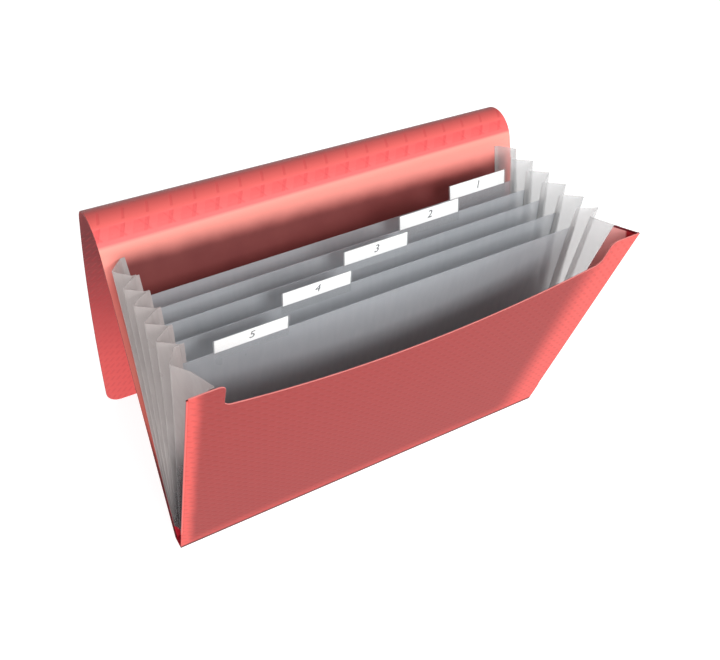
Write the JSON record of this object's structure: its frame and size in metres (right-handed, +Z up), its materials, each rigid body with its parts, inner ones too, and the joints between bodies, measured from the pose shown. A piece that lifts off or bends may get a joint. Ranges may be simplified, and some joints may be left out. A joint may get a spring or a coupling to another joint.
{
  "type": "accordion file folder",
  "caption": "Landscape expanding file with pleated sides, tabbed dividers and a scooped front, standing open on its base fold with its flap rolled back as a prop.",
  "frame": {"origin": "middle of the base strip's underside, on the surface the folder stands on", "axes": "+X along the width to the right as seen from the front, +Y to the rear where the flap hangs, +Z up"},
  "size_m": [0.3351, 0.2651, 0.2494],
  "materials": {
    "coral_cover": "translucent embossed polypropylene",
    "pleat_film": "clear frosted film",
    "divider_sheet": "clear frosted sheet",
    "tab_clear": "clear sleeve",
    "label_card": "uncoated white card"
  },
  "bodies": {
    "back_cover": {"back_cover": "coral_cover", "base_strip": "coral_cover", "left_pleat_1": "pleat_film", "right_pleat_1": "pleat_film"},
    "divider_1": {"divider_1": "divider_sheet", "tab_sleeve_1": "tab_clear", "label_card_1": "label_card", "left_pleat_2": "pleat_film", "right_pleat_2": "pleat_film"},
    "divider_2": {"divider_2": "divider_sheet", "tab_sleeve_2": "tab_clear", "label_card_2": "label_card", "left_pleat_3": "pleat_film", "right_pleat_3": "pleat_film"},
    "divider_3": {"divider_3": "divider_sheet", "tab_sleeve_3": "tab_clear", "label_card_3": "label_card", "left_pleat_4": "pleat_film", "right_pleat_4": "pleat_film"},
    "divider_4": {"divider_4": "divider_sheet", "tab_sleeve_4": "tab_clear", "label_card_4": "label_card", "left_pleat_5": "pleat_film", "right_pleat_5": "pleat_film"},
    "divider_5": {"divider_5": "divider_sheet", "tab_sleeve_5": "tab_clear", "label_card_5": "label_card", "left_pleat_6": "pleat_film", "right_pleat_6": "pleat_film"},
    "front_cover": {"front_cover": "coral_cover", "left_hem": "coral_cover", "right_hem": "coral_cover"},
    "flap_roll_1": {"flap_roll_1": "coral_cover"},
    "flap_roll_2": {"flap_roll_2": "coral_cover"},
    "flap_panel": {"flap_panel": "coral_cover"}
  },
  "joints": [
    {"name": "pocket_1", "type": "hinge", "parent": "back_cover", "child": "divider_1", "pos_m": [0, -0.0054, 0.00045], "axis": [1, 0, 0], "range_deg": [-4.9, 2], "deforming": ["left_pleat_1", "right_pleat_1"]},
    {"name": "pocket_2", "type": "hinge", "parent": "divider_1", "child": "divider_2", "pos_m": [0, -0.0054, 0.00045], "axis": [1, 0, 0], "range_deg": [-4.1, 1.5], "deforming": ["left_pleat_2", "right_pleat_2"]},
    {"name": "pocket_3", "type": "hinge", "parent": "divider_2", "child": "divider_3", "pos_m": [0, -0.0054, 0.00045], "axis": [1, 0, 0], "range_deg": [-4.1, 1.5], "deforming": ["left_pleat_3", "right_pleat_3"]},
    {"name": "pocket_4", "type": "hinge", "parent": "divider_3", "child": "divider_4", "pos_m": [0, -0.0054, 0.00045], "axis": [1, 0, 0], "range_deg": [-4.1, 1.5], "deforming": ["left_pleat_4", "right_pleat_4"]},
    {"name": "pocket_5", "type": "hinge", "parent": "divider_4", "child": "divider_5", "pos_m": [0, -0.0054, 0.00045], "axis": [1, 0, 0], "range_deg": [-4.1, 1.5], "deforming": ["left_pleat_5", "right_pleat_5"]},
    {"name": "pocket_6", "type": "hinge", "parent": "divider_5", "child": "front_cover", "pos_m": [0, -0.0054, 0.00045], "axis": [1, 0, 0], "range_deg": [-10, 3], "deforming": ["left_pleat_6", "right_pleat_6", "left_hem", "right_hem"]},
    {"name": "flap_fold_1", "type": "hinge", "parent": "back_cover", "child": "flap_roll_1", "pos_m": [0, 0.06345, 0.23513], "axis": [1, -0.0012, -0.0033], "range_deg": [0, 82]},
    {"name": "flap_fold_2", "type": "hinge", "parent": "flap_roll_1", "child": "flap_roll_2", "pos_m": [0, 0.07231, 0.24444], "axis": [0.9999, -0.007, -0.0094], "range_deg": [0, 82]},
    {"name": "flap_fold_3", "type": "hinge", "parent": "flap_roll_2", "child": "flap_panel", "pos_m": [0, 0.09824, 0.24247], "axis": [0.9997, -0.024, -0.0081], "range_deg": [0, 82]}
  ],
  "couplings": [
    {"joint": "flap_fold_2", "follows": "flap_fold_1", "ratio": 1},
    {"joint": "flap_fold_3", "follows": "flap_fold_1", "ratio": 1}
  ]
}
